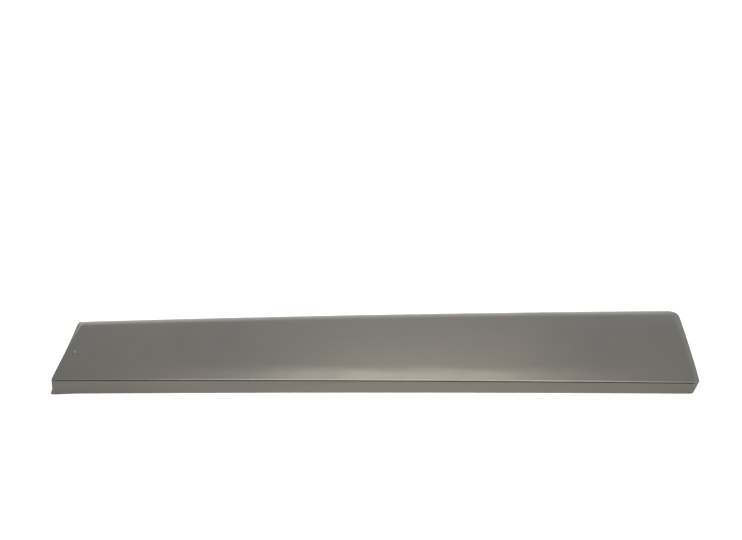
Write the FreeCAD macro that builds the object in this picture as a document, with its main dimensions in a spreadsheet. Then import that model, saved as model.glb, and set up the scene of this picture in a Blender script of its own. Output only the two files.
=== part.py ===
import FreeCAD, Part
import math
import os
import Sketcher

# Side trim moulding for a vehicle body: one piece of moulded thermoplastic.
# It lies on its open back. X runs along the length, Y from the lip to the top
# edge and Z up, out of the face. The lip is nearest to -Y.

doc = FreeCAD.newDocument("SideTrimMoulding")

# Driving sizes in millimetres, angles in degrees
sizes = {
    "length": ("980", "overall length at the foot"),
    "bow": ("2.5", "rise of the middle above the two ends"),
    "noseHeightLeft": ("32.9", "height of the nose at the left end"),
    "noseHeightRight": ("27.2", "height of the nose at the right end"),
    "depthLeft": ("145.1", "nose to top edge at the left end"),
    "depthRight": ("178.8", "nose to top edge at the right end"),
    "topSweep": ("2", "outward sweep of the top edge at the middle"),
    "noseRadius": ("1.4", "radius of the nose bead"),
    "crownTilt": ("10", "rise of the face just behind the nose"),
    "crownRadius": ("150", "radius of the crown behind the nose"),
    "crownWidth": ("33", "depth of the crown, from the nose"),
    "faceRadius": ("1100", "radius of the wide flat face"),
    "rollRadius": ("32", "radius of the rolled top edge"),
    "landHeight": ("3", "height at which the roll runs out"),
    "rollRunOut": ("3", "roll that is trimmed off past the top edge"),
    "lipSetback": ("1.8", "setback of the lip behind the nose"),
    "grooveWidth": ("2.6", "width of the shadow groove"),
    "grooveDepth": ("2.6", "depth of the shadow groove"),
    "grooveStop": ("9", "groove's closed stretch at the left end"),
    "endDraft": ("5.5", "draft of the end walls and top wall"),
    "rakeLeft": ("22.5", "set-in of the top left corner"),
    "rakeRight": ("7.5", "set-in of the top right corner"),
    "cornerLeft": ("5", "radius of the top left corner"),
    "cornerRight": ("26", "radius of the top right corner"),
    "leftEndRadius": ("860", "radius of the hollow curve of the left end"),
    "lipCorner": ("3", "radius of the lip's left corner"),
    "edgeRadius": ("1.6", "rounding between face and end walls"),
    "wall": ("2.8", "thickness of the skin"),
    "endWall": ("3.0", "thickness of the end walls"),
    "lipWall": ("4.6", "thickness of the lip"),
    "flangeReach": ("11", "reach of the return flange at the lip"),
    "flangeThickness": ("2.6", "thickness of the return flange"),
    "mitreBase": ("9.8", "set-in of the mitred lip at its foot"),
    "mitreTurn": ("60", "turn of the mitre in plan"),
    "mitreLean": ("12.3", "lean of the mitre, outward as it rises"),
    "facetLength": ("12.6", "length of the facet at the lip's right end"),
    "facetTurn": ("20", "turn of the facet in plan"),
    "cornerInsetX": ("18", "solid corner behind the mitre, along X"),
    "cornerInsetY": ("26", "solid corner behind the mitre, along Y"),
    "footLength": ("32", "length of the foot at the left end"),
    "footFlat": ("8", "full-width stretch of the foot"),
    "footHeight": ("6", "height of the foot"),
    "footReach": ("1.4", "foot in front of the lip"),
    "footFlare": ("1.9", "foot past the left end"),
    "footDraft": ("17", "slope of the foot's sides"),
    "clipCount": ("6", "number of clip towers"),
    "clipEnd": ("115", "outer clip towers from the ends"),
    "clipPitch": ("=(length - 2 * clipEnd) / (clipCount - 1)", "pitch of the clip towers"),
    "clipLine": ("98", "clip line behind the nose"),
    "clipBore": ("9", "bore of the keyhole in a clip seat"),
    "clipThroat": ("6", "throat of the keyhole"),
    "seatHeight": ("5", "underside of the clip seats above the floor"),
    "seatThickness": ("2.2", "thickness of a clip seat"),
    "towerLength": ("28", "clip tower along X"),
    "towerDepth": ("22", "clip tower along Y"),
    "towerWall": ("1.8", "wall of a clip tower"),
    "ribHeight": ("4", "height of the stiffening ribs"),
    "ribThickness": ("1.6", "thickness of the stiffening ribs"),
    "ribCount": ("7", "number of cross ribs"),
    "ribEnd": ("40", "outer cross ribs from the ends"),
    "ribPitch": ("=(length - 2 * ribEnd) / (ribCount - 1)", "pitch of the cross ribs"),
    "longRibLine": ("56", "long rib behind the nose"),
}

sheet = doc.addObject("Spreadsheet::Sheet", "Sizes")
for row, (alias, (number, meaning)) in enumerate(sizes.items(), start=1):
    sheet.set("A%d" % row, meaning)
    sheet.set("B%d" % row, number)
    sheet.setAlias("B%d" % row, alias)
doc.recompute()


def size(alias):
    return float(sheet.get(alias))


# Cutting sketches reach this far past the moulding, and added ones bite this far into it
past = 4.0
bite = 0.4


def originPlane(body, role):
    for feature in body.Origin.OriginFeatures:
        if feature.Role == role:
            return feature
    raise ValueError(role)


def attach(sketch, body, role):
    sketch.AttachmentSupport = [(originPlane(body, role), "")]
    sketch.MapMode = "FlatFace"


def newSketch(body, name, role, offsets=None):
    sketch = body.newObject("Sketcher::SketchObject", name)
    attach(sketch, body, role)
    for axis, expression in (offsets or {}).items():
        sketch.setExpression("AttachmentOffset.Base." + axis, expression)
    return sketch


def fix(sketch, name, expression, kind, *args):
    """Adds one named dimension and ties it to the sheet."""
    index = sketch.addConstraint(Sketcher.Constraint(kind, *args))
    sketch.renameConstraint(index, name)
    sketch.setExpression("Constraints." + name, expression)


def line(sketch, start, end):
    first = FreeCAD.Vector(start[0], start[1], 0)
    last = FreeCAD.Vector(end[0], end[1], 0)
    return sketch.addGeometry(Part.LineSegment(first, last), False)


def curvedSide(sketch, start, end, radius, inward):
    """Draws a side as an arc that bows into the outline or out of it."""
    chord = (end[0] - start[0], end[1] - start[1])
    reach = math.hypot(chord[0], chord[1])
    rise = math.sqrt(radius ** 2 - (reach / 2) ** 2) * (1 if inward else -1)
    middle = ((start[0] + end[0]) / 2, (start[1] + end[1]) / 2)
    centre = FreeCAD.Vector(middle[0] + rise * chord[1] / reach, middle[1] - rise * chord[0] / reach, 0)
    turns = [math.atan2(point[1] - centre.y, point[0] - centre.x) for point in (start, end)]
    if inward:
        turns.reverse()
    circle = Part.Circle(centre, FreeCAD.Vector(0, 0, 1), radius)
    sketch.addGeometry(Part.ArcOfCircle(circle, turns[0], turns[1]), False)


def polygon(sketch, corners, curves=None):
    """Draws a closed outline whose corners and curved sides are each tied to the sheet."""
    curves = curves or {}
    places = [point for point, _ in corners]
    count = len(places)
    ends = []
    for i in range(count):
        start = places[i]
        end = places[(i + 1) % count]
        if i in curves:
            radius, radiusText, inward = curves[i]
            curvedSide(sketch, start, end, radius, inward)
            fix(sketch, "side%dRadius" % i, radiusText, "Radius", i, radius)
            ends.append((2, 1) if inward else (1, 2))
        else:
            line(sketch, start, end)
            ends.append((1, 2))
    for i in range(count):
        after = (i + 1) % count
        sketch.addConstraint(Sketcher.Constraint("Coincident", i, ends[i][1], after, ends[after][0]))
    for i, (place, (alongX, alongY)) in enumerate(corners):
        at = ends[i][0]
        for axis, expression, value in (("X", alongX, place[0]), ("Y", alongY, place[1])):
            name = "corner%d%s" % (i, axis)
            if abs(value) < 1e-9 and expression == "0":
                axisIndex = -2 if axis == "X" else -1
                sketch.addConstraint(Sketcher.Constraint("PointOnObject", i, at, axisIndex))
            elif value < 0:
                fix(sketch, name, "-(" + expression + ")", "Distance" + axis, i, at, -1, 1, -value)
            else:
                fix(sketch, name, expression, "Distance" + axis, -1, 1, i, at, value)


# Stations of the lofted sections: left of the left end, middle, right of the right end
overrun = 6.0
stationPlaces = {
    "Left": "-(Sizes.length / 2 + %g)" % overrun,
    "Middle": "0",
    "Right": "Sizes.length / 2 + %g" % overrun,
}
stationShares = {"Left": -1.0, "Middle": 0.0, "Right": 1.0}


def stationShare(station):
    return stationShares[station] * (1 + 2 * overrun / size("length"))


def shareText(station):
    return "(%g * (1 + %g / Sizes.length))" % (stationShares[station], 2 * overrun)


def between(station, left, right):
    half = (size(right) - size(left)) / 2
    return (size(left) + size(right)) / 2 + half * stationShare(station)


def betweenText(station, left, right):
    middle = "(Sizes.%s + Sizes.%s) / 2" % (left, right)
    half = "(Sizes.%s - Sizes.%s) / 2" % (right, left)
    return "(%s + %s * %s)" % (middle, half, shareText(station))


def swept(station):
    """Nose to top edge at a station, with the sweep."""
    sweep = size("topSweep") * (1 - stationShare(station) ** 2)
    return between(station, "depthLeft", "depthRight") + sweep


def sweptText(station):
    sweep = "Sizes.topSweep * (1 - %s ^ 2)" % shareText(station)
    return "(%s + %s)" % (betweenText(station, "depthLeft", "depthRight"), sweep)


def liftText(station):
    return "Sizes.bow * (1 - %s ^ 2)" % shareText(station)


def faceChain(noseHeight, depth):
    """Follows the nose, crown, face and roll as tangent arcs from the lip to the top edge."""
    nose = size("noseRadius")
    crown = size("crownRadius")
    face = size("faceRadius")
    roll = size("rollRadius")
    startTurn = -math.radians(size("crownTilt"))
    noseCentre = (nose, noseHeight - nose)
    start = (noseCentre[0] + nose * math.sin(startTurn), noseCentre[1] + nose * math.cos(startTurn))
    crownCentre = (start[0] - crown * math.sin(startTurn), start[1] - crown * math.cos(startTurn))
    crownTurn = math.asin((size("crownWidth") - crownCentre[0]) / crown)
    crownEnd = (size("crownWidth"), crownCentre[1] + crown * math.cos(crownTurn))
    faceCentre = (crownEnd[0] - face * math.sin(crownTurn), crownEnd[1] - face * math.cos(crownTurn))
    # The roll's centre lies inside the face's circle and one radius from the run-out point
    runOut = (depth + size("rollRunOut"), size("landHeight"))
    across = (runOut[0] - faceCentre[0], runOut[1] - faceCentre[1])
    span = math.hypot(across[0], across[1])
    inner = face - roll
    along = (span ** 2 + inner ** 2 - roll ** 2) / (2 * span)
    side = math.sqrt(inner ** 2 - along ** 2)
    unit = (across[0] / span, across[1] / span)
    foot = (faceCentre[0] + along * unit[0], faceCentre[1] + along * unit[1])
    crossings = [(foot[0] + way * side * unit[1], foot[1] - way * side * unit[0]) for way in (-1, 1)]
    rollCentre = min(crossings)
    faceTurn = math.atan2(rollCentre[0] - faceCentre[0], rollCentre[1] - faceCentre[1])
    rollTurn = math.atan2(runOut[0] - rollCentre[0], runOut[1] - rollCentre[1])
    return {
        "nose": (noseCentre, nose, -math.pi, startTurn),
        "crown": (crownCentre, crown, startTurn, crownTurn),
        "face": (faceCentre, face, crownTurn, faceTurn),
        "roll": (rollCentre, roll, faceTurn, rollTurn),
    }


def arcPoint(centre, radius, turn):
    return (centre[0] + radius * math.sin(turn), centre[1] + radius * math.cos(turn))


def arc(sketch, centre, radius, fromTurn, toTurn, construction=False):
    """Adds an arc whose start is at the larger turn from straight up and whose end is at the smaller."""
    circle = Part.Circle(FreeCAD.Vector(centre[0], centre[1], 0), FreeCAD.Vector(0, 0, 1), radius)
    piece = Part.ArcOfCircle(circle, math.pi / 2 - toTurn, math.pi / 2 - fromTurn)
    return sketch.addGeometry(piece, construction)


def chainArcs(sketch, station, construction):
    """Draws and ties the nose, crown, face and roll arcs, and gives their indices."""
    noseHeight = between(station, "noseHeightLeft", "noseHeightRight")
    depth = swept(station)
    chain = faceChain(noseHeight, depth)
    noseArc = arc(sketch, *chain["nose"], construction)
    crownArc = arc(sketch, *chain["crown"], construction)
    faceArc = arc(sketch, *chain["face"], construction)
    rollArc = arc(sketch, *chain["roll"], construction)
    heightText = betweenText(station, "noseHeightLeft", "noseHeightRight")
    depthText = sweptText(station)
    for first, second in ((noseArc, crownArc), (crownArc, faceArc), (faceArc, rollArc)):
        sketch.addConstraint(Sketcher.Constraint("Tangent", first, 1, second, 2))
    nose = size("noseRadius")
    fix(sketch, "noseRadius", "Sizes.noseRadius", "Radius", noseArc, nose)
    fix(sketch, "noseCentreX", "Sizes.noseRadius", "DistanceX", -1, 1, noseArc, 3, nose)
    noseCentreY = heightText + " - Sizes.noseRadius"
    fix(sketch, "noseCentreY", noseCentreY, "DistanceY", -1, 1, noseArc, 3, noseHeight - nose)
    tiltReach = nose * math.sin(math.radians(size("crownTilt")))
    tiltText = "Sizes.noseRadius * sin(Sizes.crownTilt)"
    fix(sketch, "noseTilt", tiltText, "DistanceX", noseArc, 1, noseArc, 3, tiltReach)
    fix(sketch, "crownRadius", "Sizes.crownRadius", "Radius", crownArc, size("crownRadius"))
    fix(sketch, "crownWidth", "Sizes.crownWidth", "DistanceX", -1, 1, crownArc, 1, size("crownWidth"))
    fix(sketch, "faceRadius", "Sizes.faceRadius", "Radius", faceArc, size("faceRadius"))
    fix(sketch, "rollRadius", "Sizes.rollRadius", "Radius", rollArc, size("rollRadius"))
    rollEnd = depth + size("rollRunOut")
    fix(sketch, "rollEndX", depthText + " + Sizes.rollRunOut", "DistanceX", -1, 1, rollArc, 1, rollEnd)
    fix(sketch, "rollEndY", "Sizes.landHeight", "DistanceY", -1, 1, rollArc, 1, size("landHeight"))
    return chain, (noseArc, crownArc, faceArc, rollArc), noseHeight, depth


def outerSection(body, station):
    """One cross-section of the outside: lip, shadow groove, nose, crown, face and rolled edge."""
    offsets = {"z": stationPlaces[station], "y": liftText(station)}
    sketch = newSketch(body, "Outer" + station, "YZ_Plane", offsets)
    chain, arcs, noseHeight, depth = chainArcs(sketch, station, False)
    noseArc, crownArc, faceArc, rollArc = arcs
    nose = size("noseRadius")
    lip = size("lipSetback")
    back = lip + size("grooveDepth")
    under = noseHeight - 2 * nose
    low = under - size("grooveWidth")
    far = depth + size("rollRunOut")
    underside = line(sketch, (nose, under), (back, under))
    grooveBack = line(sketch, (back, under), (back, low))
    grooveFoot = line(sketch, (back, low), (lip, low))
    lipFace = line(sketch, (lip, low), (lip, 0))
    base = line(sketch, (lip, 0), (far, 0))
    rim = line(sketch, (far, 0), (far, size("landHeight")))
    joints = ((noseArc, 2, underside, 1), (underside, 2, grooveBack, 1), (grooveBack, 2, grooveFoot, 1),
              (grooveFoot, 2, lipFace, 1), (lipFace, 2, base, 1), (base, 2, rim, 1), (rim, 2, rollArc, 1))
    for joint in joints:
        sketch.addConstraint(Sketcher.Constraint("Coincident", *joint))
    for flat in (underside, grooveFoot, base):
        sketch.addConstraint(Sketcher.Constraint("Horizontal", flat))
    for upright in (grooveBack, lipFace, rim):
        sketch.addConstraint(Sketcher.Constraint("Vertical", upright))
    sketch.addConstraint(Sketcher.Constraint("Vertical", noseArc, 3, noseArc, 2))
    sketch.addConstraint(Sketcher.Constraint("PointOnObject", base, 1, -1))
    fix(sketch, "lipSetback", "Sizes.lipSetback", "DistanceX", -1, 1, base, 1, lip)
    for axis, alias, side in (("X", "grooveDepth", grooveFoot), ("Y", "grooveWidth", grooveBack)):
        fix(sketch, alias, "Sizes." + alias, "Distance" + axis, side, 2, side, 1, size(alias))
    return sketch


def innerSection(body, name, station, offset, offsetText, extra, extraText):
    """One cross-section of the hollow: parallel to the outside, with a step over the return flange."""
    offsets = {"z": stationPlaces[station], "y": liftText(station)}
    sketch = newSketch(body, name + station, "YZ_Plane", offsets)
    chain, arcs, noseHeight, depth = chainArcs(sketch, station, True)
    front = size("lipSetback") + size("lipWall") + extra
    centre, radius, startTurn, endTurn = chain["crown"]
    frontTurn = math.asin((front - centre[0]) / (radius - offset))
    inner = [arc(sketch, centre, radius - offset, frontTurn, endTurn)]
    for part in ("face", "roll"):
        centre, radius, startTurn, endTurn = chain[part]
        inner.append(arc(sketch, centre, radius - offset, startTurn, endTurn))
    spokes = []
    for outerArc, innerArc, part in zip(arcs[1:], inner, ("crown", "face", "roll")):
        centre, radius, startTurn, endTurn = chain[part]
        spoke = line(sketch, centre, arcPoint(centre, radius, endTurn))
        sketch.setConstruction(spoke, True)
        sketch.addConstraint(Sketcher.Constraint("Coincident", spoke, 1, outerArc, 3))
        sketch.addConstraint(Sketcher.Constraint("Coincident", spoke, 2, outerArc, 1))
        sketch.addConstraint(Sketcher.Constraint("PointOnObject", innerArc, 1, spoke))
        innerText = "Sizes.%sRadius - (%s)" % (part, offsetText)
        fix(sketch, part + "Inner", innerText, "Radius", innerArc, radius - offset)
        spokes.append(spoke)
    sketch.addConstraint(Sketcher.Constraint("Coincident", inner[0], 3, arcs[1], 3))
    sketch.addConstraint(Sketcher.Constraint("Tangent", inner[0], 1, inner[1], 2))
    sketch.addConstraint(Sketcher.Constraint("Tangent", inner[1], 1, inner[2], 2))
    centre, radius, startTurn, endTurn = chain["crown"]
    top = arcPoint(centre, radius - offset, frontTurn)
    centre, radius, startTurn, endTurn = chain["roll"]
    end = arcPoint(centre, radius - offset, endTurn)
    below = -(past + extra)
    step = size("flangeThickness") + extra
    inward = front + size("flangeReach")
    frontWall = line(sketch, top, (front, step))
    flangeTop = line(sketch, (front, step), (inward, step))
    flangeEdge = line(sketch, (inward, step), (inward, below))
    floor = line(sketch, (inward, below), (end[0], below))
    rim = line(sketch, (end[0], below), end)
    joints = ((inner[0], 2, frontWall, 1), (frontWall, 2, flangeTop, 1), (flangeTop, 2, flangeEdge, 1),
              (flangeEdge, 2, floor, 1), (floor, 2, rim, 1), (rim, 2, inner[2], 1))
    for joint in joints:
        sketch.addConstraint(Sketcher.Constraint("Coincident", *joint))
    for flat in (flangeTop, floor):
        sketch.addConstraint(Sketcher.Constraint("Horizontal", flat))
    for upright in (frontWall, flangeEdge, rim):
        sketch.addConstraint(Sketcher.Constraint("Vertical", upright))
    frontText = "Sizes.lipSetback + Sizes.lipWall + " + extraText
    stepText = "Sizes.flangeThickness + " + extraText
    fix(sketch, "front", frontText, "DistanceX", -1, 1, flangeTop, 1, front)
    fix(sketch, "step", stepText, "DistanceY", -1, 1, flangeTop, 1, step)
    reach = size("flangeReach")
    fix(sketch, "flangeReach", "Sizes.flangeReach", "DistanceX", flangeTop, 1, flangeTop, 2, reach)
    fix(sketch, "below", "%g + %s" % (past, extraText), "DistanceY", floor, 1, -1, 1, -below)
    return sketch


def loft(body, name, sketches):
    feature = body.newObject("PartDesign::AdditiveLoft", name)
    feature.Profile = sketches[0]
    feature.Sections = sketches[1:]
    feature.Ruled = False
    feature.Closed = False
    doc.recompute()
    return feature


half = size("length") / 2
halfText = "Sizes.length / 2"
tallText = "Sizes.noseHeightLeft + Sizes.noseHeightRight"


def outlineBody(name, inset):
    """A drafted block with the plan outline of the moulding, or of its hollow."""
    body = doc.addObject("PartDesign::Body", name)
    sketch = newSketch(body, name + "Plan", "XY_Plane", {"z": "%g" % -past} if inset else None)
    endInset = size("endWall") if inset else 0
    topInset = size("wall") if inset else 0
    endText = "Sizes.endWall" if inset else "0"
    topText = "Sizes.wall" if inset else "0"
    left = -half + endInset
    right = half - endInset
    leftText = "-(Sizes.length / 2 - %s)" % endText
    rightText = "Sizes.length / 2 - %s" % endText
    front = -2 * past
    frontText = "%g" % front
    corners = [
        ((left + size("rakeLeft"), size("depthLeft") - topInset),
         (leftText + " + Sizes.rakeLeft", "Sizes.depthLeft - " + topText)),
        ((left, 0), (leftText, "0")),
        ((left, front), (leftText, frontText)),
    ]
    if inset:
        insetX = size("cornerInsetX")
        insetY = size("cornerInsetY")
        cut = right - insetX
        cutText = rightText + " - Sizes.cornerInsetX"
        corners.append(((cut, front), (cutText, frontText)))
        corners.append(((cut, 0), (cutText, "0")))
        share = size("rakeRight") * insetY / size("depthRight")
        shareText = " - Sizes.rakeRight * Sizes.cornerInsetY / Sizes.depthRight"
        corners.append(((right - share, insetY), (rightText + shareText, "Sizes.cornerInsetY")))
    else:
        corners.append(((right, front), (rightText, frontText)))
        corners.append(((right, 0), (rightText, "0")))
    corners.append(((right - size("rakeRight"), size("depthRight") - topInset),
                    (rightText + " - Sizes.rakeRight", "Sizes.depthRight - " + topText)))
    endRadius = size("leftEndRadius") + endInset
    polygon(sketch, corners, {0: (endRadius, "Sizes.leftEndRadius + " + endText, True)})
    doc.recompute()
    pad = body.newObject("PartDesign::Pad", name + "Pad")
    pad.Profile = sketch
    pad.setExpression("Length", tallText)
    pad.setExpression("TaperAngle", "-Sizes.endDraft")
    doc.recompute()
    for station, alias in (("Left", "cornerLeft"), ("Right", "cornerRight")):
        base = body.Tip
        wanted = corners[0][0] if station == "Left" else corners[-1][0]
        names = []
        for index, edge in enumerate(base.Shape.Edges, start=1):
            low = min(edge.Vertexes, key=lambda vertex: vertex.Point.z).Point
            high = max(edge.Vertexes, key=lambda vertex: vertex.Point.z).Point
            isUpright = high.z - low.z > 10
            if isUpright and math.hypot(low.x - wanted[0], low.y - wanted[1]) < 0.01:
                names.append("Edge%d" % index)
        fillet = body.newObject("PartDesign::Fillet", name + "Corner" + station)
        fillet.Base = (base, names)
        less = " - Sizes.wall" if inset else ""
        fillet.setExpression("Radius", "Sizes.%s%s" % (alias, less))
        doc.recompute()
    return body


def boolean(body, name, kind, tools):
    feature = body.newObject("PartDesign::Boolean", name)
    feature.Type = kind
    feature.setObjects(tools)
    doc.recompute()
    return feature


def prism(body, kind, name, sketch, lengthText, upward):
    """Pads or pockets a sketch and makes sure that it did its work."""
    before = body.Shape.Volume
    feature = body.newObject("PartDesign::" + kind, name)
    feature.Profile = sketch
    feature.setExpression("Length", lengthText)
    feature.Reversed = upward if kind == "Pocket" else not upward
    doc.recompute()
    change = feature.Shape.Volume - before
    if kind == "Pocket" and change > -1e-3:
        raise ValueError(name + " cuts nothing")
    if kind == "Pad" and change < 1e-3:
        raise ValueError(name + " adds nothing")
    return feature


# Outside of the moulding: three cross-sections lofted along the gentle bow, then cut to the plan
moulding = doc.addObject("PartDesign::Body", "Moulding")
outerSketches = [outerSection(moulding, station) for station in stationShares]
doc.recompute()
loft(moulding, "OuterForm", outerSketches)

# Plan outline
outline = outlineBody("Outline", False)
boolean(moulding, "TrimToPlan", "Common", [outline])

# Rounded edge between the face and the end walls, over the crown, face, roll and both corners
trimmed = moulding.Tip
rimEdges = []
for index, edge in enumerate(trimmed.Shape.Edges, start=1):
    faces = trimmed.Shape.ancestorsOfType(edge, Part.Face)
    middle = edge.valueAt((edge.FirstParameter + edge.LastParameter) / 2)
    isRim = False
    if len(faces) == 2 and middle.z > size("edgeRadius") + size("bow"):
        slopes = []
        for face in faces:
            u, v = face.Surface.parameter(middle)
            slopes.append(abs(face.normalAt(u, v).z))
        isWall = abs(min(slopes) - math.sin(math.radians(size("endDraft")))) < 0.02
        isRim = isWall and max(slopes) > 0.35
    if isRim and middle.y > size("noseRadius") * 2:
        rimEdges.append("Edge%d" % index)
rounding = moulding.newObject("PartDesign::Fillet", "RimRounding")
rounding.Base = (trimmed, rimEdges)
rounding.setExpression("Radius", "Sizes.edgeRadius")
doc.recompute()

# Closed stretch of the shadow groove at the left end, its end face parallel to the end wall
capMiddle = "-(Sizes.lipSetback + Sizes.grooveDepth / 2 + %g)" % bite
cap = newSketch(moulding, "GrooveCapFront", "XZ_Plane", {"z": capMiddle})
capHeights = (size("noseHeightLeft") / 2, size("noseHeightLeft") - 2 * size("noseRadius") + bite)
capTexts = ("Sizes.noseHeightLeft / 2", "Sizes.noseHeightLeft - 2 * Sizes.noseRadius + %g" % bite)
capSlope = math.tan(math.radians(size("endDraft")))
capLefts = [-half + bite + height * capSlope for height in capHeights]
capLeftTexts = ["-(Sizes.length / 2 - %g - (%s) * tan(Sizes.endDraft))" % (bite, text) for text in capTexts]
capRight = -half + size("grooveStop")
capRightText = "-(Sizes.length / 2 - Sizes.grooveStop)"
polygon(cap, [
    ((capLefts[0], capHeights[0]), (capLeftTexts[0], capTexts[0])),
    ((capRight, capHeights[0]), (capRightText, capTexts[0])),
    ((capRight, capHeights[1]), (capRightText, capTexts[1])),
    ((capLefts[1], capHeights[1]), (capLeftTexts[1], capTexts[1])),
])
doc.recompute()
beforeCap = moulding.Shape.Volume
capPad = moulding.newObject("PartDesign::Pad", "GrooveCap")
capPad.Profile = cap
capPad.Midplane = True
capPad.setExpression("Length", "Sizes.grooveDepth + 2 * %g" % bite)
doc.recompute()
if moulding.Shape.Volume < beforeCap + 1:
    raise ValueError("GrooveCap adds nothing")

# Rounded upright corner at the lip's left end, below the nose
cornerPlan = newSketch(moulding, "LipCornerPlan", "XY_Plane", {"z": "-1"})
cornerRadius = size("lipCorner")
cornerX = -half + bite / 2
cornerXText = "-(Sizes.length / 2 - %g)" % (bite / 2)
cornerInX = cornerX + cornerRadius
cornerInXText = cornerXText + " + Sizes.lipCorner"
cornerY = size("lipSetback") + cornerRadius
cornerYText = "Sizes.lipSetback + Sizes.lipCorner"
outX = -half - past
outXText = "-(Sizes.length / 2 + %g)" % past
frontText = "%g" % -past
polygon(cornerPlan, [
    ((cornerX, cornerY), (cornerXText, cornerYText)),
    ((outX, cornerY), (outXText, cornerYText)),
    ((outX, -past), (outXText, frontText)),
    ((cornerInX, -past), (cornerInXText, frontText)),
    ((cornerInX, size("lipSetback")), (cornerInXText, "Sizes.lipSetback")),
], {4: (cornerRadius, "Sizes.lipCorner", True)})
doc.recompute()
prism(moulding, "Pocket", "LipCorner", cornerPlan, "Sizes.noseHeightLeft - 2 * Sizes.noseRadius + 1", True)

# Facet that turns the lip back at its right end, below the nose
facet = newSketch(moulding, "FacetPlan", "XY_Plane", {"z": "-1"})
facetStart = half - size("facetLength")
facetStartText = halfText + " - Sizes.facetLength"
facetEnd = half + past
facetEndText = "%s + %g" % (halfText, past)
facetBack = size("lipSetback") + (facetEnd - facetStart) * math.tan(math.radians(size("facetTurn")))
facetBackText = "Sizes.lipSetback + (Sizes.facetLength + %g) * tan(Sizes.facetTurn)" % past
polygon(facet, [
    ((facetStart, -past), (facetStartText, frontText)),
    ((facetEnd, -past), (facetEndText, frontText)),
    ((facetEnd, facetBack), (facetEndText, facetBackText)),
    ((facetStart, size("lipSetback")), (facetStartText, "Sizes.lipSetback")),
])
doc.recompute()
prism(moulding, "Pocket", "LipFacet", facet, "Sizes.noseHeightRight - 2 * Sizes.noseRadius + 1", True)

# Mitre across the lip's right end, leaning outward from its foot to the nose
mitre = newSketch(moulding, "MitrePlan", "XY_Plane")
mitreX = half - size("mitreBase")
mitreXText = "Sizes.length / 2 - Sizes.mitreBase + (%g - Sizes.lipSetback) / tan(Sizes.mitreTurn)"
mitreFront = -20
mitreBack = 50
mitreSpare = 30


def mitreCorner(y, spare):
    """Gives a corner of the mitre's sketch and its two expressions."""
    x = mitreX + (y - size("lipSetback")) / math.tan(math.radians(size("mitreTurn"))) + spare
    return (x, y), ("%s + %g" % (mitreXText % y, spare), "%g" % y)


mitreRight = mitreCorner(mitreBack, mitreSpare)
polygon(mitre, [
    mitreCorner(mitreFront, 0),
    ((mitreRight[0][0], mitreFront), (mitreRight[1][0], "%g" % mitreFront)),
    mitreRight,
    mitreCorner(mitreBack, 0),
])
doc.recompute()
mitrePocket = prism(moulding, "Pocket", "LipMitre", mitre, "Sizes.noseHeightRight + Sizes.bow + 2", True)
mitrePocket.setExpression("TaperAngle", "-Sizes.mitreLean")
doc.recompute()

# Low flared foot under the lip at the left end, fading out to the right
foot = newSketch(moulding, "FootPlan", "XY_Plane")
footFront = size("lipSetback") - size("footReach")
footFrontText = "Sizes.lipSetback - Sizes.footReach"
footBack = size("lipSetback") + size("lipWall")
footBackText = "Sizes.lipSetback + Sizes.lipWall"
flareX = -half - size("footFlare")
flareXText = "-(Sizes.length / 2 + Sizes.footFlare)"
flatX = -half + size("footFlat")
flatXText = "-(Sizes.length / 2 - Sizes.footFlat)"
fadeX = -half + size("footLength")
fadeXText = "-(Sizes.length / 2 - Sizes.footLength)"
polygon(foot, [
    ((flareX, footBack), (flareXText, footBackText)),
    ((flareX, footFront + size("footFlare")), (flareXText, footFrontText + " + Sizes.footFlare")),
    ((-half, footFront), ("-Sizes.length / 2", footFrontText)),
    ((flatX, footFront), (flatXText, footFrontText)),
    ((fadeX, size("lipSetback")), (fadeXText, "Sizes.lipSetback")),
    ((fadeX, footBack), (fadeXText, footBackText)),
])
doc.recompute()
footPad = prism(moulding, "Pad", "Foot", foot, "Sizes.footHeight", True)
footPad.setExpression("TaperAngle", "-Sizes.footDraft")
doc.recompute()

# Hollow behind the face, parallel to the outside
hollow = doc.addObject("PartDesign::Body", "Hollow")
hollowSketches = [innerSection(hollow, "Hollow", station, size("wall"), "Sizes.wall", 0.0, "0")
                  for station in stationShares]
doc.recompute()
loft(hollow, "HollowForm", hollowSketches)

# Slots in the hollow leave the stiffening ribs
ribFirst = -(size("ribCount") - 1) * size("ribPitch") / 2
ribLow = {"z": "-(Sizes.ribHeight + %g)" % past}
ribSketch = newSketch(hollow, "CrossRibPlan", "XY_Plane", ribLow)
ribHalf = size("ribThickness") / 2
ribLeftText = "-((Sizes.ribCount - 1) * Sizes.ribPitch / 2 + Sizes.ribThickness / 2)"
ribRightText = "-((Sizes.ribCount - 1) * Sizes.ribPitch / 2 - Sizes.ribThickness / 2)"
ribFar = size("depthRight") + size("topSweep") + 2 * past
ribFarText = "Sizes.depthRight + Sizes.topSweep + %g" % (2 * past)
polygon(ribSketch, [
    ((ribFirst - ribHalf, -past), (ribLeftText, frontText)),
    ((ribFirst + ribHalf, -past), (ribRightText, frontText)),
    ((ribFirst + ribHalf, ribFar), (ribRightText, ribFarText)),
    ((ribFirst - ribHalf, ribFar), (ribLeftText, ribFarText)),
])
doc.recompute()
ribSlot = prism(hollow, "Pocket", "CrossRibSlot", ribSketch, tallText, True)
ribPattern = hollow.newObject("PartDesign::LinearPattern", "CrossRibs")
ribPattern.Originals = [ribSlot]
ribPattern.Direction = (ribSketch, ["H_Axis"])
ribPattern.setExpression("Length", "(Sizes.ribCount - 1) * Sizes.ribPitch")
ribPattern.setExpression("Occurrences", "Sizes.ribCount")
hollow.Tip = ribPattern
doc.recompute()

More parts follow.
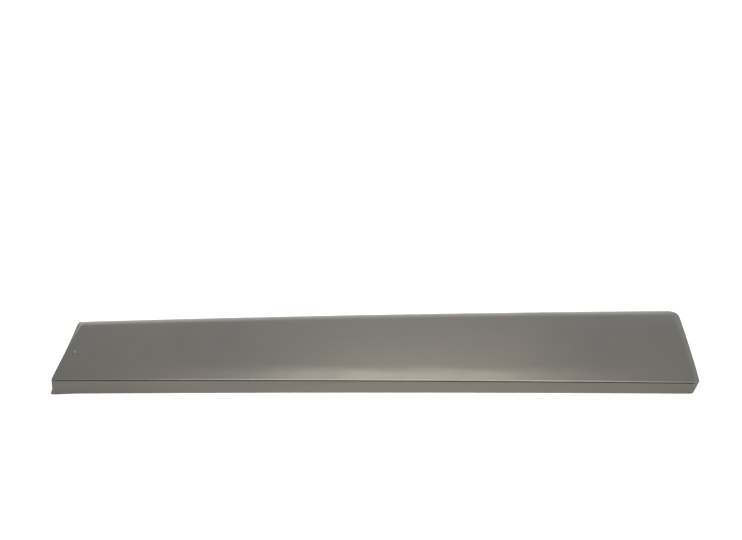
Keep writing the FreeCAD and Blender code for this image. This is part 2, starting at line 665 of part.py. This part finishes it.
longRib = newSketch(hollow, "LongRibPlan", "XY_Plane", ribLow)
longLow = size("longRibLine") - ribHalf
longHigh = size("longRibLine") + ribHalf
longLowText = "Sizes.longRibLine - Sizes.ribThickness / 2"
longHighText = "Sizes.longRibLine + Sizes.ribThickness / 2"
longX = half + overrun + past
longXText = "Sizes.length / 2 + %g" % (overrun + past)
polygon(longRib, [
    ((-longX, longLow), ("-(%s)" % longXText, longLowText)),
    ((longX, longLow), (longXText, longLowText)),
    ((longX, longHigh), (longXText, longHighText)),
    ((-longX, longHigh), ("-(%s)" % longXText, longHighText)),
])
doc.recompute()
prism(hollow, "Pocket", "LongRibSlot", longRib, tallText, True)

# Free space below the ribs
ribLine = doc.addObject("PartDesign::Body", "RibLine")
ribLineSketches = [innerSection(ribLine, "RibLine", station, size("wall") + size("ribHeight"),
                                "Sizes.wall + Sizes.ribHeight", size("ribHeight"), "Sizes.ribHeight")
                   for station in stationShares]
doc.recompute()
loft(ribLine, "RibLineForm", ribLineSketches)
boolean(hollow, "BelowRibs", "Fuse", [ribLine])
hollowOutline = outlineBody("HollowOutline", True)
boolean(hollow, "HollowTrim", "Common", [hollowOutline])

# Clip towers: walls on three sides, open towards the lip, with a keyhole seat across the foot
clipX = -(size("clipCount") - 1) * size("clipPitch") / 2
clipY = size("clipLine")
clipXText = "(Sizes.clipCount - 1) * Sizes.clipPitch / 2"


def clipPoint(shareX, shareY, insetX=0, insetY=0):
    """Gives a corner of the first tower's plan and its two expressions."""
    reachX = shareX * (size("towerLength") / 2 - insetX * size("towerWall"))
    reachY = shareY * (size("towerDepth") / 2 - insetY * size("towerWall"))
    sign = "-" if shareX > 0 else "+"
    textX = "-(%s %s (Sizes.towerLength / 2 - %g * Sizes.towerWall))" % (clipXText, sign, insetX)
    textY = "Sizes.clipLine + %g * (Sizes.towerDepth / 2 - %g * Sizes.towerWall)" % (shareY, insetY)
    return (clipX + reachX, clipY + reachY), (textX, textY)


towerPlan = newSketch(hollow, "TowerPlan", "XY_Plane", {"z": "Sizes.seatHeight"})
polygon(towerPlan, [
    clipPoint(-1, -1), clipPoint(-1, -1, 1), clipPoint(-1, 1, 1, 1), clipPoint(1, 1, 1, 1),
    clipPoint(1, -1, 1), clipPoint(1, -1), clipPoint(1, 1), clipPoint(-1, 1),
])
doc.recompute()
towerSlot = prism(hollow, "Pocket", "TowerWalls", towerPlan, tallText, True)

seatPlan = newSketch(hollow, "SeatPlan", "XY_Plane", {"z": "Sizes.seatHeight"})
bore = size("clipBore") / 2
throat = size("clipThroat") / 2
towerLeft = clipX - size("towerLength") / 2
towerRight = clipX + size("towerLength") / 2
towerLow = clipY - size("towerDepth") / 2
towerHigh = clipY + size("towerDepth") / 2
throatTop = clipY - math.sqrt(bore ** 2 - throat ** 2)
openLeft = math.pi + math.acos(throat / bore)
circle = Part.Circle(FreeCAD.Vector(clipX, clipY, 0), FreeCAD.Vector(0, 0, 1), bore)
keyArc = seatPlan.addGeometry(Part.ArcOfCircle(circle, -math.acos(throat / bore), openLeft), False)
keyLeft = line(seatPlan, (clipX - throat, throatTop), (clipX - throat, towerLow))
lowLeft = line(seatPlan, (clipX - throat, towerLow), (towerLeft, towerLow))
sideLeft = line(seatPlan, (towerLeft, towerLow), (towerLeft, towerHigh))
backSide = line(seatPlan, (towerLeft, towerHigh), (towerRight, towerHigh))
sideRight = line(seatPlan, (towerRight, towerHigh), (towerRight, towerLow))
lowRight = line(seatPlan, (towerRight, towerLow), (clipX + throat, towerLow))
keyRight = line(seatPlan, (clipX + throat, towerLow), (clipX + throat, throatTop))
for joint in ((keyArc, 2, keyLeft, 1), (keyLeft, 2, lowLeft, 1), (lowLeft, 2, sideLeft, 1),
              (sideLeft, 2, backSide, 1), (backSide, 2, sideRight, 1), (sideRight, 2, lowRight, 1),
              (lowRight, 2, keyRight, 1), (keyRight, 2, keyArc, 1)):
    seatPlan.addConstraint(Sketcher.Constraint("Coincident", *joint))
for flat in (lowLeft, backSide, lowRight):
    seatPlan.addConstraint(Sketcher.Constraint("Horizontal", flat))
for upright in (keyLeft, sideLeft, sideRight, keyRight):
    seatPlan.addConstraint(Sketcher.Constraint("Vertical", upright))
seatPlan.addConstraint(Sketcher.Constraint("Horizontal", lowLeft, 1, lowRight, 2))
fix(seatPlan, "boreRadius", "Sizes.clipBore / 2", "Radius", keyArc, bore)
fix(seatPlan, "boreX", clipXText, "DistanceX", keyArc, 3, -1, 1, -clipX)
fix(seatPlan, "boreY", "Sizes.clipLine", "DistanceY", -1, 1, keyArc, 3, clipY)
spans = (
    ("throatLeft", "X", (keyLeft, 1), (keyArc, 3), "clipThroat"),
    ("throatRight", "X", (keyArc, 3), (keyRight, 1), "clipThroat"),
    ("seatLeft", "X", (sideLeft, 1), (keyArc, 3), "towerLength"),
    ("seatRight", "X", (keyArc, 3), (sideRight, 1), "towerLength"),
    ("seatLow", "Y", (sideLeft, 1), (keyArc, 3), "towerDepth"),
    ("seatHigh", "Y", (keyArc, 3), (sideLeft, 2), "towerDepth"),
)
for name, axis, start, end, alias in spans:
    fix(seatPlan, name, "Sizes.%s / 2" % alias, "Distance" + axis, *start, *end, size(alias) / 2)
doc.recompute()
seatSlot = prism(hollow, "Pocket", "ClipSeat", seatPlan, "Sizes.seatThickness", True)
towers = hollow.newObject("PartDesign::LinearPattern", "ClipTowers")
towers.Originals = [towerSlot, seatSlot]
towers.Direction = (towerPlan, ["H_Axis"])
towers.setExpression("Length", "(Sizes.clipCount - 1) * Sizes.clipPitch")
towers.setExpression("Occurrences", "Sizes.clipCount")
hollow.Tip = towers
doc.recompute()

boolean(moulding, "HollowOut", "Cut", [hollow])
moulding.Label = "side_trim_moulding"

# The origin goes to the middle of the footprint, on the floor
box = moulding.Shape.optimalBoundingBox(False, False)
centre = FreeCAD.Vector((box.XMin + box.XMax) / 2, (box.YMin + box.YMax) / 2, box.ZMin)
moulding.Placement = FreeCAD.Placement(-centre, FreeCAD.Rotation())
doc.recompute()

for item in doc.Objects:
    if "Invalid" in item.State or "Error" in item.State:
        raise ValueError(item.Name + " failed")
shape = moulding.Shape
print("solids", len(shape.Solids), "valid", shape.isValid(), "volume", round(shape.Volume / 1000, 1), "cm3")
print("box", shape.optimalBoundingBox(False, False))
if shape.isNull() or not shape.isValid():
    raise ValueError("the moulding is not a valid solid")
os.makedirs("parts", exist_ok=True)
shape.exportStep("parts/" + moulding.Label + ".step")
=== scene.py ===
import bpy
import math
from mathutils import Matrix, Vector


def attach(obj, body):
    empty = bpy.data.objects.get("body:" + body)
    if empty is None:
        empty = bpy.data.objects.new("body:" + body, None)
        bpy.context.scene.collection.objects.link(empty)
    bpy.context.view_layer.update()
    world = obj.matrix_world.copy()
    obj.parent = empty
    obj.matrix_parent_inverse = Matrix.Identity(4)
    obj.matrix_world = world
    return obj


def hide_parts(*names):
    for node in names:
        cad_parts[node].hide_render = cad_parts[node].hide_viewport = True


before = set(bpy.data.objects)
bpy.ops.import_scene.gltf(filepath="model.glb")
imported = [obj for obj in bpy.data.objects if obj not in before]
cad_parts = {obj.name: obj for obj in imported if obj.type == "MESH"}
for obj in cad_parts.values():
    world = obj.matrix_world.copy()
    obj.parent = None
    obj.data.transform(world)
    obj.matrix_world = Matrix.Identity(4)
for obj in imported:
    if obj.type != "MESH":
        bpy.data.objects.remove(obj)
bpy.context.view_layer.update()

# Camera at the photo's viewing angle: 41.5 degrees down, from the lip's side
cameraSettings = {
    "place": (-0.0054, -1.6647, 1.6462),
    "tiltFromDown": 48.5,
    "lens": 72.78,
    "sensorWidth": 36.0,
    "clipStart": 0.05,
}


def addCamera():
    look = cameraSettings
    bpy.ops.object.select_all(action="DESELECT")
    tilt = math.radians(look["tiltFromDown"])
    bpy.ops.object.camera_add(location=look["place"], rotation=(tilt, 0.0, 0.0))
    camera = bpy.context.object
    camera.name = "photoCamera"
    camera.data.lens = look["lens"]
    camera.data.sensor_width = look["sensorWidth"]
    camera.data.clip_start = look["clipStart"]
    bpy.context.scene.camera = camera


addCamera()
print("camera placed")

# Shared by the plastic, the floor and the air
white = (1.0, 1.0, 1.0, 1.0)
nodeSpacing = (220, 200)  # in the shader editor


def emptyTree(owner):  # of a material or a world
    owner.use_nodes = True
    owner.node_tree.nodes.clear()
    return owner.node_tree


def node(tree, kind, **values):
    made = tree.nodes.new(kind)
    for name, value in values.items():
        setattr(made, name, value)
    return made


def feed(tree, socket, value):  # value is a constant, or the output of another node
    if isinstance(value, bpy.types.NodeSocket):
        tree.links.new(value, socket)
    else:
        socket.default_value = value


def maths(tree, operation, *values):
    made = node(tree, "ShaderNodeMath", operation=operation)
    for socket, value in zip(made.inputs, values):
        feed(tree, socket, value)
    return made.outputs["Value"]


def product(tree, made, *others):
    for other in others:
        made = maths(tree, "MULTIPLY", made, other)
    return made


def ramp(tree, value, ends, results=(0.0, 1.0)):  # first result at the first end, second at the second
    made = node(tree, "ShaderNodeMapRange")
    feed(tree, made.inputs["Value"], value)
    feed(tree, made.inputs["From Min"], ends[0])
    feed(tree, made.inputs["From Max"], ends[1])
    feed(tree, made.inputs["To Min"], results[0])
    feed(tree, made.inputs["To Max"], results[1])
    return made.outputs["Result"]


def offLine(tree, along, across, line):  # across + along (bow along + lean), where line is (bow, lean)
    bow, lean = line
    slope = maths(tree, "MULTIPLY_ADD", along, bow, lean)
    return maths(tree, "MULTIPLY_ADD", slope, along, across)


def noise(tree, coords, perMetre, detail):
    made = node(tree, "ShaderNodeTexNoise")
    feed(tree, made.inputs["Vector"], coords)
    feed(tree, made.inputs["Scale"], perMetre)
    feed(tree, made.inputs["Detail"], detail)
    return made.outputs["Fac"]


def blend(tree, kind, share, first, second):
    made = node(tree, "ShaderNodeMix", data_type=kind)
    feed(tree, made.inputs["Factor"], share)
    feed(tree, made.inputs["A"], first)
    feed(tree, made.inputs["B"], second)
    return made.outputs["Result"]


def seenByCamera(tree):  # 1 for what the camera sees, directly, mirrored or through glass
    path = node(tree, "ShaderNodeLightPath")
    seen = maths(tree, "MAXIMUM", path.outputs["Is Camera Ray"], path.outputs["Is Glossy Ray"])
    return maths(tree, "MAXIMUM", seen, path.outputs["Is Transmission Ray"])


def layOut(tree):  # each node one column left of the nodes that it feeds
    column = {made.name: 0 for made in tree.nodes}
    for sweep in range(len(tree.nodes)):
        for link in tree.links:
            source = link.from_node.name
            column[source] = max(column[source], column[link.to_node.name] + 1)
    rows = {}
    for made in tree.nodes:
        left = column[made.name]
        rows[left] = rows.get(left, 0) + 1
        made.location = (-left * nodeSpacing[0], -rows[left] * nodeSpacing[1])


# Moulded plastic: two greys that change slowly over the face, under a fine grain
plasticSettings = {
    "greyDark": (0.083, 0.092, 0.093, 1.0),
    "greyLight": (0.104, 0.107, 0.101, 1.0),
    "greyPerMetre": 7.0,
    "greyDetail": 4.0,
    "noiseUsed": (0.3, 0.7),
    "rough": 0.31,
    "roughChange": 0.03,
    "roughPerMetre": 22.0,
    "roughDetail": 5.0,
    "beadRough": 0.24,
    "grainPerMetre": 1400.0,
    "grainDetail": 2.0,
    "grainDepth": 0.00006,
    "grainStrength": 0.35,
}

# A nick, painted highlights, painted light and painted shade on it, in metres: a patch starts at the
# first number of a pair and is full at the second
nickAndPaintedLightSettings = {
    # painted highlight along the bead
    "paintedBeadHighlight": (0.260, 0.272, 0.266, 1.0),
    # painted highlights on the rolled top edge and on the rims of both ends
    "paintedRollHighlight": (0.146, 0.152, 0.150, 1.0),
    "paintedLeftRimHighlight": (0.260, 0.272, 0.266, 1.0),
    "paintedRightRimHighlight": (0.136, 0.143, 0.141, 1.0),
    # painted shade in the groove and under the bead
    "paintedGrooveShade": (0.030, 0.029, 0.026, 1.0),
    "beadShade": (0.030, 0.029, 0.026, 1.0),
    # painted light low on the lip
    "paintedLipLight": (0.144, 0.135, 0.126, 1.0),
    "nickPale": (0.260, 0.265, 0.260, 1.0),
    "nickDark": (0.040, 0.040, 0.038, 1.0),
    "leftFade": (-0.38, -0.08),  # x, for the bead's painted highlight and the lip's painted light
    "rightFade": (0.62, 0.25),  # x
    "upward": (0.35, 0.55),  # of the normal, not metres
    "forward": (-0.5, -0.8),  # of the normal
    "beadFront": (-0.0876, -0.0880),  # y
    "beadFoot": (0.0200, 0.0210),  # z
    "rollLine": (0.0105, -0.0385),  # each line has a bow, per metre, and a lean
    "rollEdge": (0.0495, 0.0560),  # y, off that line
    "leftRimLine": (0.0, -0.211),
    "leftRimShift": 0.4668,
    "leftRimWidth": (0.0017, 0.0007),  # x, to each side of that line
    "leftRimUpper": (-0.022, 0.024),  # y
    "rightRimLine": (0.0, 0.0492),
    "rightRimEdge": (0.4752, 0.4802),  # x, off that line
    "noseLine": (0.01041, 0.00582),
    "grooveTop": (0.0305, 0.0300),  # z, off that line, as are the next three
    "grooveFoot": (0.0258, 0.0266),
    "shadeTop": (0.0311, 0.0306),
    "shadeFoot": (0.0270, 0.0274),
    "grooveBehind": (-0.08705, -0.0868),  # y
    "grooveFront": (-0.0780, -0.0800),  # y
    "lipLightTop": (0.026, 0.000),  # z
    "nickPalePlace": (-0.4578, -0.0308, 0.0339),
    "nickPaleSize": (0.0028, 0.0006),
    "nickDarkPlace": (-0.4600, -0.0353, 0.0341),
    "nickDarkSize": (0.0022, 0.0004),
}


def nickSpot(tree, coords, centre, size):  # a pale spot, with a dark one at its lower left
    away = node(tree, "ShaderNodeVectorMath", operation="DISTANCE")
    feed(tree, away.inputs[0], coords)
    feed(tree, away.inputs[1], centre)
    return ramp(tree, away.outputs["Value"], size)


def nickAndLightPatches(tree, coords):  # how strong the nick and each painted highlight, light or shade is, by the name of its colour, lowest layer first
    nickAndLight = nickAndPaintedLightSettings
    place = node(tree, "ShaderNodeSeparateXYZ")
    feed(tree, place.inputs["Vector"], coords)
    x, y, z = place.outputs
    facing = node(tree, "ShaderNodeNewGeometry")
    turn = node(tree, "ShaderNodeSeparateXYZ")
    feed(tree, turn.inputs["Vector"], facing.outputs["Normal"])
    upward = ramp(tree, turn.outputs["Z"], nickAndLight["upward"])
    forward = ramp(tree, turn.outputs["Y"], nickAndLight["forward"])
    middle = product(tree, ramp(tree, x, nickAndLight["leftFade"]), ramp(tree, x, nickAndLight["rightFade"]))

    # Painted light on the lip, growing towards its foot where it faces forward
    lipLight = product(tree, ramp(tree, z, nickAndLight["lipLightTop"]), forward, middle)

    # Painted highlights on the rolled top edge and on the rims of both ends, where they face upward
    rollLine = offLine(tree, x, y, nickAndLight["rollLine"])
    roll = product(tree, ramp(tree, rollLine, nickAndLight["rollEdge"]), upward)
    rightLine = offLine(tree, y, x, nickAndLight["rightRimLine"])
    rightRim = product(tree, ramp(tree, rightLine, nickAndLight["rightRimEdge"]), upward)
    leftLine = maths(tree, "ADD", offLine(tree, y, x, nickAndLight["leftRimLine"]), nickAndLight["leftRimShift"])
    leftRim = ramp(tree, maths(tree, "ABSOLUTE", leftLine), nickAndLight["leftRimWidth"])
    leftRim = product(tree, leftRim, upward, ramp(tree, y, nickAndLight["leftRimUpper"]))

    # Painted highlight along the bead on the nose
    bead = product(tree, ramp(tree, y, nickAndLight["beadFront"]), ramp(tree, z, nickAndLight["beadFoot"]), middle)

    # Painted shade in the groove and under the bead, which follow the nose
    noseLine = offLine(tree, x, z, nickAndLight["noseLine"])
    inFront = ramp(tree, y, nickAndLight["grooveFront"])
    groove = product(
        tree,
        ramp(tree, noseLine, nickAndLight["grooveTop"]),
        ramp(tree, noseLine, nickAndLight["grooveFoot"]),
        ramp(tree, y, nickAndLight["grooveBehind"]),
        inFront,
    )
    shade = product(
        tree,
        ramp(tree, noseLine, nickAndLight["shadeTop"]),
        ramp(tree, noseLine, nickAndLight["shadeFoot"]),
        inFront,
    )
    return {
        "paintedLipLight": lipLight,
        "paintedRollHighlight": roll,
        "paintedRightRimHighlight": rightRim,
        "paintedLeftRimHighlight": leftRim,
        "paintedBeadHighlight": bead,
        "paintedGrooveShade": groove,
        "beadShade": shade,
        "nickPale": nickSpot(tree, coords, nickAndLight["nickPalePlace"], nickAndLight["nickPaleSize"]),
        "nickDark": nickSpot(tree, coords, nickAndLight["nickDarkPlace"], nickAndLight["nickDarkSize"]),
    }


def plasticMaterial():
    look = plasticSettings
    material = bpy.data.materials.new("mouldedTrimPlastic")
    tree = emptyTree(material)
    output = node(tree, "ShaderNodeOutputMaterial")
    shader = node(tree, "ShaderNodeBsdfPrincipled")
    feed(tree, output.inputs["Surface"], shader.outputs["BSDF"])
    coords = node(tree, "ShaderNodeTexCoord").outputs["Object"]

    # Greys, with the nick and the painted highlights, painted light and painted shade laid over them
    cloud = noise(tree, coords, look["greyPerMetre"], look["greyDetail"])
    greyShare = ramp(tree, cloud, look["noiseUsed"])
    colour = blend(tree, "RGBA", greyShare, look["greyDark"], look["greyLight"])
    patches = nickAndLightPatches(tree, coords)
    for name, strength in patches.items():
        colour = blend(tree, "RGBA", strength, colour, nickAndPaintedLightSettings[name])
    feed(tree, shader.inputs["Base Color"], colour)

    # Sheen, which changes over the face and is smoother along the bead
    rub = noise(tree, coords, look["roughPerMetre"], look["roughDetail"])
    roughEnds = (look["rough"] - look["roughChange"], look["rough"] + look["roughChange"])
    rough = ramp(tree, rub, look["noiseUsed"], roughEnds)
    rough = blend(tree, "FLOAT", patches["paintedBeadHighlight"], rough, look["beadRough"])
    feed(tree, shader.inputs["Roughness"], rough)

    # Fine grain of the mould
    bump = node(tree, "ShaderNodeBump")
    feed(tree, bump.inputs["Height"], noise(tree, coords, look["grainPerMetre"], look["grainDetail"]))
    feed(tree, bump.inputs["Strength"], look["grainStrength"])
    feed(tree, bump.inputs["Distance"], look["grainDepth"])
    feed(tree, shader.inputs["Normal"], bump.outputs["Normal"])
    layOut(tree)
    return material


# Dressed copy of the moulding: merged, with normals led by its broad faces,
# so the crown stays smooth up to the nose
skinSettings = {
    "mergeWithin": 0.00001,
    "sharpAngle": 18.6,
    "normalWeight": 80,
}


def addSkin():
    look = skinSettings
    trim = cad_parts["side_trim_moulding"]
    skin = trim.copy()
    skin.data = trim.data.copy()
    skin.name = "mouldedSkin"
    skin.data.name = "mouldedSkin"
    bpy.context.scene.collection.objects.link(skin)
    bpy.ops.object.select_all(action="DESELECT")
    skin.select_set(True)
    bpy.context.view_layer.objects.active = skin
    bpy.ops.mesh.customdata_custom_splitnormals_clear()
    bpy.ops.object.mode_set(mode="EDIT")
    bpy.ops.mesh.select_all(action="SELECT")
    bpy.ops.mesh.remove_doubles(threshold=look["mergeWithin"])
    bpy.ops.object.mode_set(mode="OBJECT")
    bpy.ops.object.shade_smooth_by_angle(angle=math.radians(look["sharpAngle"]))
    weighted = skin.modifiers.new("broadFaces", "WEIGHTED_NORMAL")
    weighted.mode = "FACE_AREA"
    weighted.weight = look["normalWeight"]
    weighted.keep_sharp = True
    bpy.ops.object.modifier_apply(modifier=weighted.name)
    skin.data.materials.clear()
    skin.data.materials.append(plasticMaterial())
    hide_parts("side_trim_moulding")
    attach(skin, "root")


addSkin()
print("moulding dressed")

# Pale floor: white to the camera, keeps the shadow, and is clear from beneath
floorSettings = {
    "side": 9.0,
    "level": -0.0004,
    "colour": (0.82, 0.82, 0.82, 1.0),
    "cameraGlow": 0.75,
}


def floorMaterial():
    look = floorSettings
    material = bpy.data.materials.new("paleFloorPaint")
    tree = emptyTree(material)
    output = node(tree, "ShaderNodeOutputMaterial")
    paint = node(tree, "ShaderNodeBsdfDiffuse")
    feed(tree, paint.inputs["Color"], look["colour"])
    glow = node(tree, "ShaderNodeEmission")
    feed(tree, glow.inputs["Color"], white)
    feed(tree, glow.inputs["Strength"], product(tree, seenByCamera(tree), look["cameraGlow"]))
    top = node(tree, "ShaderNodeAddShader")
    feed(tree, top.inputs[0], paint.outputs["BSDF"])
    feed(tree, top.inputs[1], glow.outputs["Emission"])
    side = node(tree, "ShaderNodeNewGeometry")
    beneath = node(tree, "ShaderNodeBsdfTransparent")
    sheet = node(tree, "ShaderNodeMixShader")
    feed(tree, sheet.inputs["Fac"], side.outputs["Backfacing"])
    feed(tree, sheet.inputs[1], top.outputs["Shader"])
    feed(tree, sheet.inputs[2], beneath.outputs["BSDF"])
    feed(tree, output.inputs["Surface"], sheet.outputs["Shader"])
    layOut(tree)
    return material


def addFloor():
    look = floorSettings
    bpy.ops.object.select_all(action="DESELECT")
    bpy.ops.mesh.primitive_plane_add(size=look["side"], location=(0.0, 0.0, look["level"]))
    floor = bpy.context.object
    floor.name = "paleFloor"
    bpy.ops.object.transform_apply(location=True)
    floor.data.materials.append(floorMaterial())


addFloor()

# Soft studio light: four warm ceiling lights in a row that runs away from the camera,
# a wide low one behind for the rolled edge, and a low fill in front for the lip
ceilingColour = (1.0, 0.89, 0.74)
softboxSettings = {
    "ceilingOver": {
        "place": (0.10, -0.15, 1.95),
        "aim": (0.04, -0.09, 0.02),
        "size": (0.5, 0.4),
        "watts": 6.0,
        "colour": (1.0, 0.90, 0.78),
    },
    "ceilingNear": {
        "place": (0.105, 0.84, 1.82),
        "aim": (0.04, -0.07, 0.02),
        "size": (0.70, 0.70),
        "watts": 16.3,
        "colour": ceilingColour,
    },
    "ceilingMiddle": {
        "place": (0.13, 1.42, 1.39),
        "aim": (0.04, -0.05, 0.02),
        "size": (0.66, 0.70),
        "watts": 2.8,
        "colour": ceilingColour,
    },
    "ceilingFar": {
        "place": (0.12, 1.78, 0.92),
        "aim": (0.04, 0.0, 0.02),
        "size": (0.62, 0.60),
        "watts": 0.5,
        "colour": ceilingColour,
    },
    "lowBehind": {
        "place": (-0.1, 2.2, 0.40),
        "aim": (0.0, 0.08, 0.03),
        "size": (4.2, 0.5),
        "watts": 7.0,
        "colour": (1.0, 0.96, 0.90),
    },
    "fill": {
        "place": (-0.01, -0.80, 0.36),
        "aim": (-0.01, -0.08, 0.01),
        "size": (1.00, 0.55),
        "watts": 7.8,
        "colour": (1.0, 0.87, 0.73),
    },
}


def addSoftbox(name, look):
    bpy.ops.object.select_all(action="DESELECT")
    bpy.ops.object.light_add(type="AREA", location=look["place"])
    lamp = bpy.context.object
    lamp.name = name + "Softbox"
    towards = Vector(look["aim"]) - Vector(look["place"])
    lamp.rotation_euler = towards.to_track_quat("-Z", "Y").to_euler()
    lamp.data.shape = "RECTANGLE"
    lamp.data.size = look["size"][0]
    lamp.data.size_y = look["size"][1]
    lamp.data.energy = look["watts"]
    lamp.data.color = look["colour"]


for name, look in softboxSettings.items():
    addSoftbox(name, look)

# Air of the studio: a weak white light, and full white where the camera sees it
airSettings = {
    "light": 0.2,
    "seen": 1.0,
}


def air(tree, strength):
    made = node(tree, "ShaderNodeBackground")
    feed(tree, made.inputs["Color"], white)
    feed(tree, made.inputs["Strength"], strength)
    return made.outputs["Background"]


def addAir():
    look = airSettings
    world = bpy.data.worlds.new("studioAir")
    bpy.context.scene.world = world
    tree = emptyTree(world)
    output = node(tree, "ShaderNodeOutputWorld")
    mix = node(tree, "ShaderNodeMixShader")
    feed(tree, mix.inputs["Fac"], seenByCamera(tree))
    feed(tree, mix.inputs[1], air(tree, look["light"]))
    feed(tree, mix.inputs[2], air(tree, look["seen"]))
    feed(tree, output.inputs["Surface"], mix.outputs["Shader"])
    layOut(tree)


addAir()
bpy.context.scene.view_settings.view_transform = "Standard"
print("floor and lights ready")
